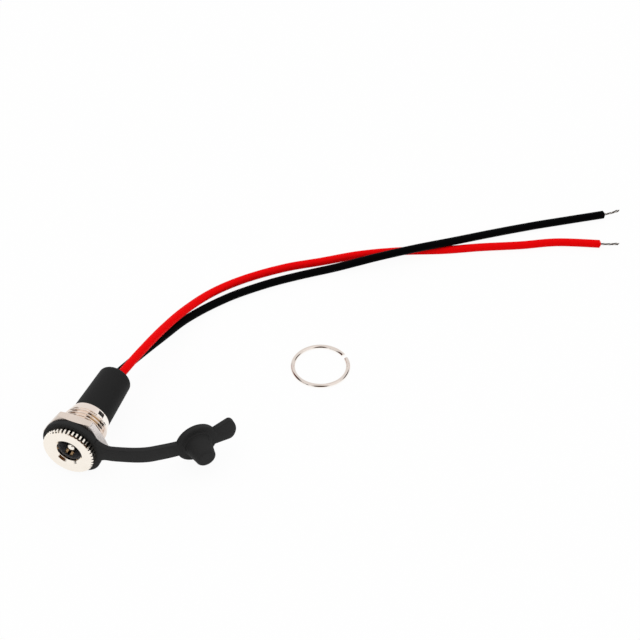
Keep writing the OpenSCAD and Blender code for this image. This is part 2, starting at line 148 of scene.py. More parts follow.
# %% [markdown]
# ## The two leads
# Each lead is a stranded copper wire in a soft PVC jacket, about 2.2 mm over all and 160 mm long
# behind the boot. It comes straight out of the boot, sinks to the table under its own weight and
# lies there in one slow curve, and the black lead rides over the red one where they cross. The
# routes are the frame's own points; a Catmull-Rom curve runs through them all, which is why it was
# chosen over a Bezier curve with handles to set by hand.

# %% Work out the routes
floor_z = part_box("dust_cap")[0].z
boot_end_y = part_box("shrink_boot")[1].y
wire_d, cross_gap = 2.2, 0.15
wire_r = wire_d * MM / 2
lie_z = floor_z + wire_r
jacket_in = 5 * MM
lead_off = np.array([1.1, 0, 0.8]) * MM
# Heights in mm of a lead that lies on the table, and of one that lies over the other
LIE = lie_z / MM
OVER = LIE + wire_d + cross_gap

red_points = [
    (1.3, 3.6, 0.75), (2, 11.6, 0), (3, 22.1, -1.5), (4.7, 33.1, -3.4), (8, 44.1, -5.3),
    (13.5, 53.7, -6.65), (22, 62.25, LIE), (31, 68.7, LIE), (40, 75.25, LIE), (50, 80.75, LIE),
    (61.5, 85.75, LIE), (71, 90.7, LIE), (81.5, 95.7, LIE), (91, 100.75, LIE), (103, 104.6, LIE)]
black_points = [
    (-0.5, 4.1, -1.25), (1, 11.6, -2.25), (3, 21.6, -4), (5.5, 33.1, -6.1), (11, 43.75, LIE),
    (18.5, 52.75, LIE), (26.5, 60.25, LIE), (36, 67.75, LIE + 0.25), (45.5, 74.75, OVER - 1),
    (55, 81.25, OVER), (64, 88.75, OVER - 0.5), (72, 96.75, LIE + 0.5), (80.5, 103.75, LIE),
    (90.5, 110.75, LIE), (100, 117.25, LIE)]


def lead_route(points, side, steps=12):
    """A smooth route through the boot and the given points, with steps points to a span. In each
    span the point is the cubic (2b + (c - a) t + (2a - 5b + 4c - d) t^2 + (3b - a - 3c + d) t^3)
    / 2 of its neighbours a to d. It stays a wire's radius above the table."""
    exit_at = side * lead_off + (0, boot_end_y, 0)
    start = np.array([exit_at - (0, jacket_in, 0), exit_at + (0, wire_r / 2, 0)])
    p = np.concatenate([start, np.array(points) * MM + (0, boot_end_y, 0)])
    b, c = p[:-1], p[1:]
    a, d = np.vstack([p[:1], p[:-2]]), np.vstack([p[2:], p[-1:]])
    t = (np.arange(steps) / steps)[None, :, None]
    a, b, c, d = (q[:, None, :] for q in (a, b, c, d))
    line = 0.5 * (2 * b + (c - a) * t + (2 * a - 5 * b + 4 * c - d) * t**2
                  + (3 * b - a - 3 * c + d) * t**3)
    line = np.vstack([line.reshape(-1, 3), p[-1:]])
    line[:, 2] = np.maximum(line[:, 2], lie_z)
    return line


red_line, black_line = lead_route(red_points, 1), lead_route(black_points, -1)


def length_of(line):
    """The sum of the steps between neighbouring points."""
    return float(np.linalg.norm(np.diff(line, axis=0), axis=1).sum())


print("lead lengths in mm:", [round(length_of(line) / MM, 1) for line in (red_line, black_line)])

# %% [markdown]
# ### A tube along a route
# A curve object with a bevel would give the same tube, but its end caps are plain. Here the section
# is a circle carried along the route, and a few more rings close the far end with the blunt cone
# that a stripping tool leaves. The tool took a little more off the red jacket.

# %% Sweep the jackets
jacket_r, cut_len, cut_depth = 1.14 * MM, 0.38 * MM, 0.62 * MM
cut_rings, end_bulge = 5, 1e-3
red_back, black_back = 0.4 * MM, -0.2 * MM


def unit(vectors):
    """The same directions with the length 1."""
    return vectors / np.linalg.norm(vectors, axis=-1, keepdims=True)


def sweep(line, ring_r, sides=24):
    """Points round a line: at each point a circle of its own radius lies across the line."""
    along = unit(np.gradient(line, axis=0))
    across = unit(np.cross(along, (0.0, 0.0, 1.0)))
    upward = np.cross(across, along)
    turn = np.linspace(0, 2 * np.pi, sides, endpoint=False)[None, :, None]
    circle = np.cos(turn) * across[:, None, :] + np.sin(turn) * upward[:, None, :]
    return line[:, None, :] + np.asarray(ring_r)[:, None, None] * circle


def with_cut_ends(line, r, length, depth):
    """The line and its radii with cut ends. At the far end the radius falls by depth over that
    length, and then the end is all but flat. At the near end, which other pieces hide, the line
    folds back over the same length, so that the end is sunk."""
    share = np.linspace(0, 1, cut_rings)
    first, last = unit(line[1] - line[0]), unit(line[-1] - line[-2])
    back = length * (1 - share)[:, None]
    middle = line[2:-2]
    full = np.concatenate([[line[0] - first * length * end_bulge], line[0] + first * back, middle,
                           line[-1] - last * back, [line[-1] + last * length * end_bulge]])
    radii = r - depth * share
    return full, np.concatenate([[0], radii[::-1], np.full(len(middle), r), radii, [0]])


def lead(name, line, back):
    """The jacket of one lead, as a tube whose far end is set back by that much."""
    line = np.vstack([line[:-1], line[-1:] - unit(line[-1] - line[-2]) * back])
    return make_piece(name, closed_shell(sweep(*with_cut_ends(line, jacket_r, cut_len, cut_depth))))


red_lead = lead("red_lead", red_line, red_back)
black_lead = lead("black_lead", black_line, black_back)

# %% [markdown]
# ### The stripped ends
# The jackets are stripped about 5 mm and the bare strands are twisted between two fingers. Four
# strands wind round each other. Each is a thin tube on a helix, so the twist is one formula: the
# strand's angle grows with its place along the bundle. Towards the tip the strands spread. Every
# second strand is marked by an attribute, from which its finish paints it nearly black: painted
# shade for the shaded flanks of the twist, so that the twist can be seen.

# %% Twist the strands
strand_r, twist_pitch, bare_len = 0.12 * MM, 3.4 * MM, 4.9 * MM
strand_count, strand_rows, strand_sides = 4, 60, 10
# Shares of the bare length: what lies inside the jacket, and by how much each strand is shorter
strand_in, strand_step = 0.25, 0.04
# Distance from the middle in strand radii, and by how much it grows to the tip
strand_off, strand_loose = 1.5, 0.4


def strands(name, line, bend):
    """Strands that carry on from a lead's end. With s from 0 to 1 along the bundle, strand k lies
    at the angle 2 pi (k / count + s length / pitch) and at a distance from the middle that grows
    with s^3. The bundle itself bends sideways and upwards by bend times s^2."""
    along = unit(line[-1] - line[-2])
    across = np.cross(along, (0.0, 0.0, 1.0))
    upward = np.cross(across, along)
    s = np.linspace(-strand_in, 1, strand_rows)[:, None]
    bare = np.clip(s, 0, 1)
    shells = []
    for k in range(strand_count):
        reach = bare_len * (1 - strand_step * ((3 * k) % strand_count))
        off = strand_off * strand_r * (1 + strand_loose * bare**3 * (k % 3))
        angle = 2 * np.pi * (k / strand_count + s * reach / twist_pitch)
        middle = line[-1] + s * reach * along + bare**2 * (bend[0] * across + bend[1] * upward)
        path = middle + off * np.cos(angle) * across + off * np.sin(angle) * upward
        path, radii = with_cut_ends(path, strand_r, strand_r / 3, strand_r / 3)
        shells.append(closed_shell(sweep(path, radii, strand_sides)))
    bundle = make_piece(name, *shells)
    # Every second strand is marked for painted shade, which its finish paints nearly black
    strand_shade = np.concatenate([np.full(len(corners), k % 2, np.float32)
                              for k, (corners, _) in enumerate(shells)])
    bundle.data.attributes.new("strand_shade", "FLOAT", "POINT").data.foreach_set("value", strand_shade)
    return bundle


red_strands = strands("red_strands", red_line, (-0.25 * MM, 0.1 * MM))
black_strands = strands("black_strands", black_line, (-0.3 * MM, 0.35 * MM))

for jacket, bare, line, colour in ((red_lead, red_strands, red_line, "red"),
                                   (black_lead, black_strands, black_line, "black")):
    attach(jacket, "jack")
    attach(bare, "jack")
    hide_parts(colour + "_wire")
    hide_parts(colour + "_bare_end")

# %% [markdown]
# ## Turned parts
# The shell, the pin and the boot are turned or shrunk round one axis, which is the frame's Y axis.
# A lathe in Blender is the Screw modifier; here the outline is carried round by formula, because
# the knurl and the thread then only have to change the radius from point to point.

# %% Outlines and turning


def outline(start, *legs):
    """An outline of (y, r) points. A leg is an array of points to add, or the point where a
    straight leg ends and the number of equal steps to it."""
    points = np.array([start], float)
    for leg in legs:
        if not isinstance(leg, np.ndarray):
            end, steps = leg
            leg = np.linspace(points[-1], end, steps + 1)[1:]
        points = np.concatenate([points, leg])
    return points


def rounding(centre, radius, from_deg, to_deg, count=7):
    """Points on an arc about centre, with the angle counted from the first coordinate towards the
    second."""
    turn = np.radians(np.linspace(from_deg, to_deg, count))
    return np.array(centre) + radius * np.stack([np.cos(turn), np.sin(turn)], axis=1)


def around_y(y, r, turn):
    """Points at y along the axis, at the distance r from it and at the angle turn from +X towards
    +Z: (r cos turn, y, r sin turn)."""
    y, r, turn = np.broadcast_arrays(y, r, turn)
    return np.stack([r * np.cos(turn), y, r * np.sin(turn)], axis=-1)


def turned(points, columns=96):
    """The grid of an outline carried once round the axis."""
    turn = np.linspace(0, 2 * np.pi, columns, endpoint=False)
    return around_y(points[:, :1], points[:, 1:], turn[None, :])


# %% [markdown]
# ## The plated shell
# The shell is turned from brass bar and plated with nickel. Its flange has a straight knurl, its
# barrel a right-hand M12 thread of 1 mm pitch that fades out on the tapered rear end, and a key
# notch is milled into that end. The outline is one closed loop, so the grid closes both ways and
# has no poles. The mouth's edge is a narrow cone that the polishing before the plating has rounded
# at both ends. A real thread is a helix: the radius at a point depends on y / pitch plus the turn,
# so the groove climbs as it goes round.

# %% Form the shell
flange_r, knurl_depth, teeth = 7.0, 0.45, 40
face_y, lining_y, mouth_r, mouth_bevel = -2.0, -0.6, 3.3, 0.74
thread_r, thread_stop, cone_y, collar_end_y, collar_end_r = 6.0, 9.0, 8.0, 11.0, 5.25
thread_pitch, thread_depth, thread_start, run_out = 1.0, 0.6, 0.68, 0.6
neck_r, shell_end_y, bore_r = 4.65, 14.5, 4.25
rim_bevel, rim_round = 0.3, 0.1
mouth_slope_deg, mouth_in_round, mouth_out_round = 38, 0.2, 0.15
# Shares of a pitch from the middle: where a tooth's top and flank end, a groove's root and flank
tooth_top, tooth_foot = 0.2, 0.45
groove_root, groove_top = 0.051242, 0.392857
# Places in each tooth's pitch that get a column of points
tooth = np.array([0, 0.05, 0.13, 0.21, 0.3, 0.4, 0.5, 0.6, 0.7, 0.79, 0.87, 0.95])

inner_arc = rounding((0, 0), mouth_in_round, 270, 180 + mouth_slope_deg, 8)
outer_arc = rounding((0, 0), mouth_out_round, 180 + mouth_slope_deg, 180, 8)
outer_arc += (face_y, mouth_r + mouth_bevel) - outer_arc[-1]
inner_arc[:, 1] += mouth_r - inner_arc[0, 1]
inner_arc[:, 0] += outer_arc[0, 0] - inner_arc[-1, 0]
inner_arc[:, 0] += (outer_arc[0, 1] - inner_arc[-1, 1]) * np.tan(np.radians(mouth_slope_deg))
shell_outline = outline(
    (lining_y, mouth_r),
    (inner_arc[0], 3),
    inner_arc[1:],
    (outer_arc[0], 4),
    outer_arc[1:],
    ((face_y, flange_r - rim_bevel), 7),
    ((face_y + rim_bevel, flange_r), 7),
    ((-rim_round, flange_r), 4),
    rounding((-rim_round, flange_r - rim_round), rim_round, 90, 0, 4)[1:],
    ((0, thread_r), 4),
    ((cone_y, thread_r), 96),
    ((collar_end_y, collar_end_r), 36),
    ((collar_end_y, neck_r), 2),
    ((shell_end_y, neck_r), 3),
    ((shell_end_y, bore_r), 1),
    ((lining_y, bore_r), 5),
    ((lining_y, mouth_r), 3))[:-1]


def knurled(turn):
    """Radius of the rim: a trapezoid wave, high in the middle of each tooth's pitch and low at its
    ends."""
    share = np.abs((turn * teeth / (2 * np.pi)) % 1 - 0.5)
    return flange_r - knurl_depth * np.clip((share - tooth_top) / (tooth_foot - tooth_top), 0, 1)


def thread_groove(y, turn):
    """How deep the thread is at a point: a trapezoid wave in y / pitch + turn, deep at its middle,
    that runs out on the tapered end."""
    share = np.abs((y / thread_pitch + turn / (2 * np.pi) + thread_start) % 1 - 0.5)
    cut = np.clip((groove_top - share) / (groove_top - groove_root), 0, 1)
    return thread_depth * cut * np.clip((thread_stop - y) / run_out, 0, 1)


y, r = shell_outline[:, :1], shell_outline[:, 1:]
turn = 2 * np.pi * (np.arange(teeth)[:, None] + tooth).ravel()[None, :] / teeth
outside = r > (bore_r + neck_r) / 2
on_rim, on_thread = outside & (y <= 0), outside & (y > 0) & (y < thread_stop)
shell_r = np.where(on_rim, np.minimum(r, knurled(turn)), r)
shell_r = np.where(on_thread, np.minimum(r, thread_r - thread_groove(y, turn)), shell_r)
turned_shell = closed_shell(around_y(y, shell_r, turn) * MM, wrap_rows=True)
print("shell as turned:", len(turned_shell[0]), "points")

# %% [markdown]
# ### The key notch
# A slot is milled through the tapered end, and the black lining shows in it. A grid has no holes,
# so the slot is cut with a box by a Boolean modifier with its exact solver. The result is taken
# from the evaluated object, so no modifier is left on the piece.

# %% Cut the notch
notch_turn, notch_w, notch_len, notch_rim = np.radians(44), 1.8, 1.4, 0.35
# How far a cutter reaches past what it cuts
cut_past = 1


def capped(grid):
    """The grid with one more row at each end, where all points are the row's own middle, which
    closes the ends."""
    ends = [np.repeat(row.mean(axis=1, keepdims=True), grid.shape[1], axis=1)
            for row in (grid[:1], grid[-1:])]
    return np.concatenate([ends[0], grid, ends[1]])


def boolean(name, operation, base, *others):
    """One object from a shell and others that are united with it, or cut from it."""
    work = make_piece(name + "_work", base)
    tools = [make_piece(name + "_tool", other) for other in others]
    for tool in tools:
        step = work.modifiers.new("step", "BOOLEAN")
        step.operation, step.solver, step.object = operation, "EXACT", tool
    bpy.context.view_layer.update()
    depsgraph = bpy.context.evaluated_depsgraph_get()
    mesh = bpy.data.meshes.new_from_object(work.evaluated_get(depsgraph))
    mesh.name = name
    for done in (work, *tools):
        bpy.data.objects.remove(done)
    return show_mesh(name, mesh)


outward = np.array([np.cos(notch_turn), 0, np.sin(notch_turn)])
sideways = np.array([-np.sin(notch_turn), 0, np.cos(notch_turn)])
corner = np.array([(-1, 0), (1, 0), (1, 1), (-1, 1)])
cutter_y = collar_end_y - notch_rim - corner[:, 1:] * notch_len
cutter_ring = corner[:, :1] * notch_w / 2 * sideways + cutter_y * (0, 1, 0)
cutter = np.array([bore_r - cut_past, thread_r + cut_past])[:, None, None] * outward + cutter_ring
notch_shell = closed_shell(capped(cutter) * MM)
plated_shell = boolean("plated_shell", "DIFFERENCE", turned_shell, notch_shell)
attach(plated_shell, "jack")
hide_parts("threaded_shell")

# %% [markdown]
# ## The centre pin
# A plated pin, 2 mm thick, stands in the middle of the socket, and a thinner shank runs back to its
# solder tag. It is a plain lathe outline with a domed tip and a small bevel. The outline starts and
# ends on the axis, where the ring of points shrinks to one point and the welding closes it.

# %% Turn the pin
pin_lo, pin_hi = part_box("centre_pin")
pin_tip_y, pin_end_y = pin_lo.y / MM, pin_hi.y / MM
pin_r, pin_dome_r, pin_dome_out, socket_end_y, shank_r = 1.0, 1.45, 0.1, 8.5, 0.74
pin_bevel_len, pin_bevel_depth = 0.1, 0.05

pin_dome_deg = np.degrees(np.arcsin((pin_r - pin_bevel_depth) / pin_dome_r))
pin_dome_y = pin_tip_y - pin_dome_out + pin_dome_r
pin_dome = rounding((pin_dome_y, 0), pin_dome_r, 180, 180 - pin_dome_deg, 16)
pin_outline = outline(
    pin_dome[0],
    pin_dome[1:],
    ((pin_dome[-1, 0] + pin_bevel_len, pin_r), 1),
    ((socket_end_y, pin_r), 11),
    ((socket_end_y, shank_r), 2),
    ((pin_end_y, shank_r), 5),
    ((pin_end_y, 0), 3))
plug_pin = make_piece("plug_pin", closed_shell(turned(pin_outline, 48) * MM))
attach(plug_pin, "jack")
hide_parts("centre_pin")

# %% [markdown]
# ## The hex nut
# The nut is cut from hexagon bar and its corners are turned off at both faces. A hexagon can be
# written as a radius for each direction: with n as the cosine of the angle to each flat,
# r = a / (sum of n^p)^(1/p). A large p gives crisp corners with a small rounding, like a plated nut
# has. Where the turned bevel meets the flats is found from the same radius, so the curved edges on
# the flats come out clean.

# %% Form the nut
nut_lo, nut_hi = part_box("hex_nut")
nut_y, nut_t = nut_lo.y / MM, (nut_hi.y - nut_lo.y) / MM
nut_half_af, nut_turn_deg, nut_power = 15.5 / 2, 57, 90
nut_bevel, nut_face_r, nut_bore_r, nut_sink = 0.5, 7.35, 6.05, 0.35
nut_columns, bevel_rows, flat_rows = 288, 5, 7

turn = np.linspace(0, 2 * np.pi, nut_columns, endpoint=False)
flats = np.radians(np.arange(6) * 60 + 30 + nut_turn_deg)
facing = np.clip(np.cos(turn[:, None] - flats), 0, 1)
hex_r = nut_half_af * (facing**nut_power).sum(axis=1)**(-1 / nut_power)
bevel_y = nut_bevel * (hex_r - nut_face_r) / (hex_r.max() - nut_face_r)
share = np.linspace(0, 1, bevel_rows)[:, None]
nut_front_y, nut_front_r = share * bevel_y, nut_face_r + share * (hex_r - nut_face_r)
flat_share = np.linspace(0.1, 0.9, flat_rows)[:, None]
sunk_r = nut_bore_r + nut_sink
bore = np.array([(nut_t, sunk_r), (nut_t - nut_sink, nut_bore_r),
                 (nut_sink, nut_bore_r), (0, sunk_r)])
bore_y, bore_grid_r = (np.repeat(bore[:, k:k + 1], nut_columns, axis=1) for k in (0, 1))
nut_y_grid = np.concatenate([nut_front_y, bevel_y + flat_share * (nut_t - 2 * bevel_y),
                             (nut_t - nut_front_y)[::-1], bore_y])
nut_r_grid = np.concatenate([nut_front_r, np.repeat(hex_r[None, :], flat_rows, axis=0),
                             nut_front_r[::-1], bore_grid_r])
nut_grid = around_y(nut_y + nut_y_grid, nut_r_grid, turn[None, :]) * MM
plated_nut = make_piece("plated_nut", closed_shell(nut_grid, wrap_rows=True), sharp_deg=25)
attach(plated_nut, "nut")
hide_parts("hex_nut")

# %% [markdown]
# ## The rubber cap on its strap
# One soft moulding: a sealing ring on the thread, which is squeezed a little out of round under the
# strap, a strap that bends back and sinks to the table, and a cap with its plug and a pull tab.
# Each form is a section carried along a path, made separately because each has its own path, and a
# Boolean union then makes one skin of them, as in the mould.

# %% Sections for the moulding
seal_r, seal_t, edge_round = -floor_z / MM, 1.6, 0.3
squeeze_turn, squeeze_most = np.radians(-40), 0.45
# Strap and tab are thinner than ring and disc by a hair: two faces in one plane confuse the union
strap_half_t = seal_t / 2 - 0.02


def rounded_section(half_u, up, down, edge, corner_points=6):
    """Loops of a rounded rectangle, one for each value in up and down: u runs from -half_u to
    half_u and v from -down to up. Each corner is a quarter circle of radius edge about a point
    that far inside."""
    turn = np.radians(np.linspace(0, 90, corner_points)) + np.arange(4)[:, None] * np.pi / 2
    arc_u, arc_v = np.cos(turn).ravel(), np.sin(turn).ravel()
    side_u, side_v = np.repeat([[1, -1, -1, 1], [1, 1, -1, -1]], corner_points, axis=1)
    sizes = np.broadcast_arrays(half_u, up, down, edge)
    half_u, up, down, edge = (np.atleast_1d(q)[:, None] for q in sizes)
    u = side_u * (half_u - edge) + edge * arc_u
    v = np.where(side_v > 0, up - edge, edge - down) + edge * arc_v
    return u, v


ring_u, ring_v = rounded_section(seal_t / 2, seal_r, -thread_r, edge_round)
seal_outline = np.stack([ring_u[0] + seal_t / 2, ring_v[0]], axis=1)
seal_turn = np.linspace(-np.pi, np.pi, 192, endpoint=False)[None, :]
off = seal_turn - squeeze_turn
squeeze = squeeze_most * np.where(np.abs(off) < np.pi / 4, np.cos(2 * off), 0)**2
seal_out = (seal_outline[:, 1:] - thread_r) / (seal_r - thread_r)
seal_grid = around_y(seal_outline[:, :1], seal_outline[:, 1:] + squeeze * seal_out, seal_turn)
seal_shell = closed_shell(seal_grid * MM, wrap_rows=True)
print("sealing ring from", thread_r, "to", round(seal_r, 2), "mm")

# %% [markdown]
# ### The strap
# Seen from above the strap leaves the ring square, bends through 48 degrees and runs straight to
# the cap. Seen from the front it sinks along half a cosine wave. At its root the moulding has a
# fillet above and one below: there the section's height follows an arc that touches both the ring
# and the strap.

# %% Bend the strap
strap_bend, strap_turn, strap_straight, strap_half_h = 16.7, np.radians(48), 11.8, 3.9 / 2
root_z, root_over, root_under, strap_low, strap_drop = 0.8, 6.0, 2.5, 0.25, 0.22
root_len, root_rows, strap_rows, bend_in = 6, 40, 70, 0.6
strap_root = (thread_r + seal_r) / 2
bend_start = np.array([seal_r - bend_in, seal_t / 2])
bend_end = bend_start + strap_bend * np.array([np.sin(strap_turn), 1 - np.cos(strap_turn)])
cap_dir = np.array([np.cos(strap_turn), np.sin(strap_turn)])
cap_xy = bend_end + strap_straight * cap_dir
cap_r, cap_t = 5.6, 1.6
cap_z = floor_z / MM + cap_r
first_len = bend_start[0] - strap_root
strap_len = first_len + strap_bend * strap_turn + strap_straight


def strap_middle(s):
    """The strap's line from above and its heading, with s in mm from the root: straight, an arc,
    then straight."""
    bent = np.clip((s - first_len) / strap_bend, 0, strap_turn)
    beyond = np.clip(s - first_len - strap_bend * strap_turn, 0, None)
    x = strap_root + np.minimum(s, first_len) + strap_bend * np.sin(bent) + beyond * cap_dir[0]
    y = bend_start[1] + strap_bend * (1 - np.cos(bent)) + beyond * cap_dir[1]
    return x, y, bent


def fillet_height(x, edge, radius):
    """Height over the axis of the edge at x: on the line from the axis to the fillet's centre, then
    on the fillet's arc, then along the strap's own edge."""
    centre_z = edge + radius
    centre_x = np.sqrt((seal_r + radius)**2 - centre_z**2)
    touch = seal_r * centre_x / (seal_r + radius)
    arc = centre_z - np.sqrt(np.clip(radius**2 - (x - centre_x)**2, 0, None))
    return np.where(x < touch, x * centre_z / centre_x, np.where(x < centre_x, arc, edge))


s = np.concatenate([np.linspace(0, root_len, root_rows),
                    np.linspace(root_len, strap_len, strap_rows)[1:]])
strap_x, strap_y, heading = strap_middle(s)
sag_from, sag_to = seal_r + 2 * strap_half_h, cap_xy[0]
sag = np.clip((strap_x - sag_from) / (sag_to - sag_from), 0, 1)
sag_z = (cap_z - strap_drop - root_z) * (1 - np.cos(np.pi * sag)) / 2
half_h = strap_half_h * np.sqrt(1 + np.gradient(sag_z, strap_x)**2)
top_edge, low_edge = root_z + strap_half_h, strap_half_h + strap_low - root_z
root_up = fillet_height(strap_x, top_edge, root_over) - root_z
root_down = fillet_height(strap_x, low_edge, root_under) + root_z
up = np.where(strap_x < sag_from, root_up, half_h)
down = np.where(strap_x < sag_from, root_down, half_h + strap_low)
strap_u, strap_v = rounded_section(strap_half_t, up, down, edge_round)
strap_grid = np.stack([strap_x[:, None] - strap_u * np.sin(heading)[:, None],
                       strap_y[:, None] + strap_u * np.cos(heading)[:, None],
                       root_z + sag_z[:, None] + strap_v], axis=-1)
strap_shell = closed_shell(capped(strap_grid) * MM)
print("strap", round(strap_len, 1), "mm long, sinks", round(root_z - cap_z + strap_drop, 1), "mm")

# %% [markdown]
# ### The cap, its plug and the pull tab
# Disc and plug are one turned outline about the cap's own axis, which lies square to the strap's
# end. The tab is a flat tongue that widens to a blunt end, where its half height follows half an
# ellipse.

# %% Form the cap
plug_root_r, plug_end_r, plug_len, plug_round, plug_fillet = 3.6, 2.7, 5.8, 0.9, 0.4
cap_round = 0.4
tab_half_h, tab_reach, tab_tip, tab_lift, tab_taper = 3.3, 9.0, 1.9, 0.77, np.radians(19)
tab_from, tab_rows = 1, 24

front_y, end_y, rim_r = cap_t / 2, cap_t / 2 + plug_len, cap_r - cap_round
cap_outline = outline(
    (-cap_t / 2, 0),
    ((-cap_t / 2, rim_r), 7),
    rounding((cap_round - cap_t / 2, rim_r), cap_round, 180, 90)[1:],
    rounding((front_y - cap_round, rim_r), cap_round, 90, 0),
    ((front_y, plug_root_r + plug_fillet), 4),
    rounding((front_y + plug_fillet, plug_root_r + plug_fillet), plug_fillet, 180, 270)[1:],
    ((end_y - plug_round, plug_end_r), 9),
    rounding((end_y - plug_round, plug_end_r - plug_round), plug_round, 90, 0)[1:],
    ((end_y, 0), 4))


def cap_frame(points):
    """Points given as (along the strap, behind the cap, up) moved to where the cap lies."""
    across = np.array([-cap_dir[1], cap_dir[0]])
    xy = cap_xy + points[..., :1] * cap_dir + points[..., 1:2] * across
    return np.concatenate([xy, cap_z + points[..., 2:]], axis=-1)


cap_shell = closed_shell(cap_frame(turned(cap_outline * (-1, 1))) * MM)

tip_x = tab_reach + tab_tip * np.sin(np.radians(np.linspace(0, 90, tab_rows)))
x = np.concatenate([np.linspace(tab_from, tab_reach, tab_rows)[:-1], tip_x])
low = tab_half_h * np.sqrt(1 - np.clip((x - tab_reach) / tab_tip, 0, 1)**2)
top = low - np.clip(tab_reach - x, 0, None) * np.tan(tab_taper)
tab_u, tab_v = rounded_section(strap_half_t, top, low, np.minimum(edge_round, (top + low) / 2))
tab_x = np.broadcast_to(x[:, None], tab_u.shape)
tab_grid = np.stack([tab_x, tab_u, tab_lift + tab_v], axis=-1)
# At the tip the section shrinks to a line, which closes that end, so the last row is left off
tab_shell = closed_shell(cap_frame(capped(tab_grid)[:-1]) * MM)
print("cap", 2 * cap_r, "mm across, plug", plug_len, "mm long")

# %% [markdown]
# ### One skin
# Ring, strap, cap and tab overlap as four closed bodies. The same Boolean, as a union, cuts away
# what lies inside.

# %% Join the moulding
rubber_cap = boolean("rubber_cap", "UNION", seal_shell, strap_shell, cap_shell, tab_shell)
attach(rubber_cap, "jack")
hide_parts("dust_cap")

# %% [markdown]
# ## The boot
# A black boot covers the solder joints. It grips the shell's neck, tapers a little and ends in a
# rounded wall through which the leads pass. It is turned from one outline that starts and ends on
# the axis, inside and outside of the rear wall, and the two lead holes are cut out of it.

# %% Turn the boot
boot_lo, boot_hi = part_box("shrink_boot")
boot_y, boot_end = boot_lo.y / MM, boot_hi.y / MM
boot_front_r, boot_rear_r, boot_round, boot_wall, boot_back = 5.1, 4.5, 1.2, 0.6, 2.0
boot_play, boot_lip = 0.01, 0.15
boot_slope = (boot_front_r - boot_rear_r) / (boot_end - boot_round - boot_y)
cavity_y, cavity_end = shell_end_y + 2 * boot_play, boot_end - boot_back
cavity_r = boot_front_r - boot_wall - boot_slope * (np.array([cavity_y, cavity_end]) - boot_y)
grip_y, grip_r = boot_y + boot_play, neck_r + boot_play
boot_outline = outline(
    (cavity_end, 0),
    ((cavity_end, cavity_r[1]), 4),
    ((cavity_y, cavity_r[0]), 4),
    ((cavity_y, grip_r), 1),
    ((grip_y, grip_r), 2),
    rounding((grip_y + boot_lip, boot_front_r - boot_lip), boot_lip, 180, 90, 5),
    ((boot_end - boot_round, boot_rear_r), 23),
    rounding((boot_end - boot_round, boot_rear_r - boot_round), boot_round, 90, 0, 12)[1:],
    ((boot_end, 0), 5))


def lead_hole(side):
    """A round cutter along one lead's way through the rear wall."""
    hole_r, hole_y, hole_end = jacket_r / MM + boot_play, cavity_end - cut_past, boot_end + cut_past
    hole = np.array([(hole_y, 0), (hole_y, hole_r), (hole_end, hole_r), (hole_end, 0)])
    return closed_shell(turned(hole, 32) * MM + side * lead_off)


boot_shell = closed_shell(turned(boot_outline, 128) * MM)
boot_tube = boolean("boot_tube", "DIFFERENCE", boot_shell, lead_hole(1), lead_hole(-1))
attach(boot_tube, "jack")
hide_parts("shrink_boot")

# %% [markdown]
# ## The lock ring
# A split ring of flat spring wire, which goes under the nut, lies on the table beside the jack. Its
# upper edges are crowned: an arc from 24 to 50 degrees of slope leads from the side wall to the
# top, and it is there that the ring catches its dark lines. The section is carried along a circle
# that leaves the split open, with both ends closed.

# %% Bend the ring
ring_lo, ring_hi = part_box("lock_ring")
ring_centre = np.array([45.5, 56.8])
ring_r, ring_w, ring_h, ring_edge = 16.0 / 2, 1.15, (ring_hi.z - ring_lo.z) / MM, 1.3
crown_from, crown_to, ring_foot = 24, 50, 0.1
split_deg, split_w = 49, 1.5

gap = np.degrees(split_w / 2 / (ring_r - ring_w / 2))
turn = np.radians(np.linspace(split_deg + gap, split_deg + 360 - gap, 160))[:, None]
crown = rounding((0, 0), ring_edge, crown_from, crown_to, 9)
crown += (ring_w / 2, ring_h) - np.array([crown[0, 0], crown[-1, 1]])
half_section = np.concatenate([[(ring_w / 2 - ring_foot, 0), (ring_w / 2, ring_foot)], crown])
ring_section = np.concatenate([half_section, half_section[::-1] * (-1, 1)])
reach = ring_r - ring_w / 2 + ring_section[None, :, 0]
ring_x, ring_y = ring_centre[0] + reach * np.cos(turn), ring_centre[1] + reach * np.sin(turn)
ring_z = np.broadcast_to(floor_z / MM + ring_section[None, :, 1], ring_x.shape)
ring_grid = np.stack([ring_x, ring_y, ring_z], axis=-1)
split_ring = make_piece("split_ring", closed_shell(capped(ring_grid) * MM))
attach(split_ring, "jack")
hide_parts("lock_ring")

# %% [markdown]
# ## Finishes
# Every finish is a small tree of nodes on the Principled shader. Colours are written as they look
# on a screen and are turned to linear light by one function; one more adds a node with its settings
# and links. No finish is quite even, so all start from a cloud that moves both tone and gloss.

# %% Colour and node helpers
# Sockets of the Mix node when it mixes colours
FACTOR, FIRST, SECOND, MIXED = 0, 6, 7, 2


def linear(colour):
    """Linear light from a screen colour: divide by 12.92 below 0.04045, or else
    ((c + 0.055) / 1.055)^2.4."""
    c = np.array([int(colour[i:i + 2], 16) for i in (1, 3, 5)]) / 255
    return (*np.where(c <= 0.04045, c / 12.92, ((c + 0.055) / 1.055)**2.4).tolist(), 1.0)


def add(tree, kind, inputs=None, **settings):
    """Adds one node. Settings are its own properties, and inputs are values, or outputs to link,
    by socket."""
    node = tree.nodes.new(kind)
    for key, value in settings.items():
        setattr(node, key, value)
    for key, value in (inputs or {}).items():
        if isinstance(value, bpy.types.NodeSocket):
            tree.links.new(value, node.inputs[key])
        else:
            node.inputs[key].default_value = value
    return node


def empty_tree(owner):
    """The node tree of a material or a world, with no nodes in it."""
    owner.use_nodes = True
    owner.node_tree.nodes.clear()
    return owner.node_tree


def new_material(name):
    """A material, its empty tree, and the place of a point in metres as a socket."""
    material = bpy.data.materials.new(name)
    tree = empty_tree(material)
    return material, tree, add(tree, "ShaderNodeTexCoord").outputs["Object"]


